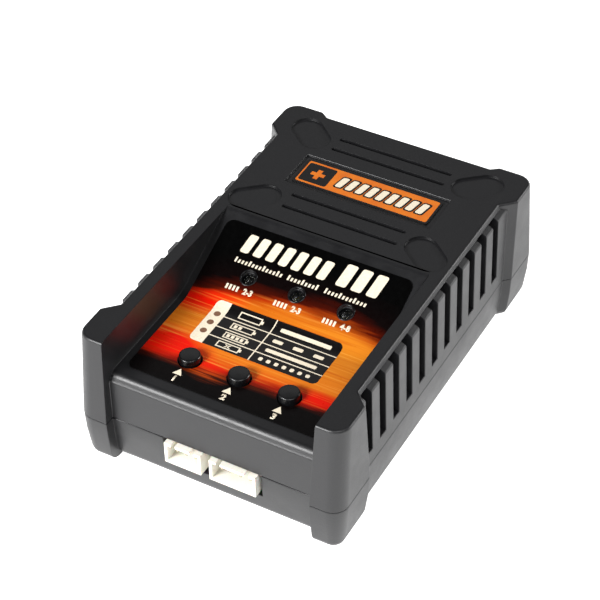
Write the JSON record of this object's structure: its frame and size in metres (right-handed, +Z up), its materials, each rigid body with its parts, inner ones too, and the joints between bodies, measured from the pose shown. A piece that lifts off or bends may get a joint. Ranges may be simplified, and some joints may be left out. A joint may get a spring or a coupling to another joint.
{
  "type": "balance battery charger",
  "caption": "Mains-fed balance charger for small lithium packs: ribbed black case with corner posts, a sloping control panel with push buttons and lamps, and balance sockets in front.",
  "frame": {"origin": "centre of the footprint, on the surface that the feet stand on", "axes": "+Z up, -Y towards the front with the buttons and balance sockets, +X to the right seen from the front"},
  "size_m": [0.0698, 0.1052, 0.0382],
  "materials": {
    "black_shell": "fine-textured moulded ABS, satin",
    "label_film": "printed film, black fading through red and orange",
    "orange_plate": "printed film, orange with a black border",
    "satin_black": "satin moulded plastic",
    "white_plastic": "nylon",
    "switch_case": "moulded, satin",
    "lamp_lens": "clear epoxy",
    "green_board": "solder mask over glass-epoxy board",
    "tinned_pin": "tin plated",
    "inlet_black": "moulded, satin",
    "bright_metal": "nickel plated",
    "fuse_glass": "ceramic tube with plated caps",
    "chip_black": "epoxy moulding",
    "copper_wire": "enamelled copper wire",
    "sleeve_blue": "printed shrink sleeve, bare",
    "ferrite": "sintered ferrite",
    "yellow_tape": "polyester tape",
    "bare_aluminium": "bare, as extruded",
    "zinc_steel": "zinc plated",
    "foot_rubber": "soft rubber",
    "label_grey": "blank film label"
  },
  "bodies": {
    "case": {"top_shell": "black_shell", "bottom_shell": "black_shell", "control_label": "label_film", "name_plate": "orange_plate", "switch_body_1": "switch_case", "switch_body_2": "switch_case", "switch_body_3": "switch_case", "lamp_1": "lamp_lens", "lamp_2": "lamp_lens", "lamp_3": "lamp_lens", "control_board": "green_board", "link_header": "satin_black", "main_board": "green_board", "socket_3pin": "white_plastic", "socket_3pin_pins": "tinned_pin", "socket_4pin": "white_plastic", "socket_4pin_pins": "tinned_pin", "mains_inlet": "inlet_black", "inlet_pins": "bright_metal", "fuse": "fuse_glass", "bridge_rectifier": "chip_black", "mains_choke": "copper_wire", "bulk_capacitor": "sleeve_blue", "transformer_core": "ferrite", "transformer_winding": "yellow_tape", "heat_sink": "bare_aluminium", "power_transistor": "chip_black", "output_diode": "chip_black", "output_capacitors": "sleeve_blue", "output_inductor": "ferrite", "microcontroller": "chip_black", "case_screws": "zinc_steel", "board_screws": "zinc_steel", "control_screws": "zinc_steel", "rubber_feet": "foot_rubber", "rating_label": "label_grey"},
    "button_1_body": {"button_1": "satin_black", "plunger_1": "white_plastic"},
    "button_2_body": {"button_2": "satin_black", "plunger_2": "white_plastic"},
    "button_3_body": {"button_3": "satin_black", "plunger_3": "white_plastic"}
  },
  "joints": [
    {"name": "button_1_press", "type": "slide", "parent": "case", "child": "button_1_body", "axis": [0, 0, -1], "range_m": [0, 0.0004], "stiffness_N_per_m": 800, "springref_m": -0.0004},
    {"name": "button_2_press", "type": "slide", "parent": "case", "child": "button_2_body", "axis": [0, 0, -1], "range_m": [0, 0.0004], "stiffness_N_per_m": 800, "springref_m": -0.0004},
    {"name": "button_3_press", "type": "slide", "parent": "case", "child": "button_3_body", "axis": [0, 0, -1], "range_m": [0, 0.0004], "stiffness_N_per_m": 800, "springref_m": -0.0004}
  ]
}
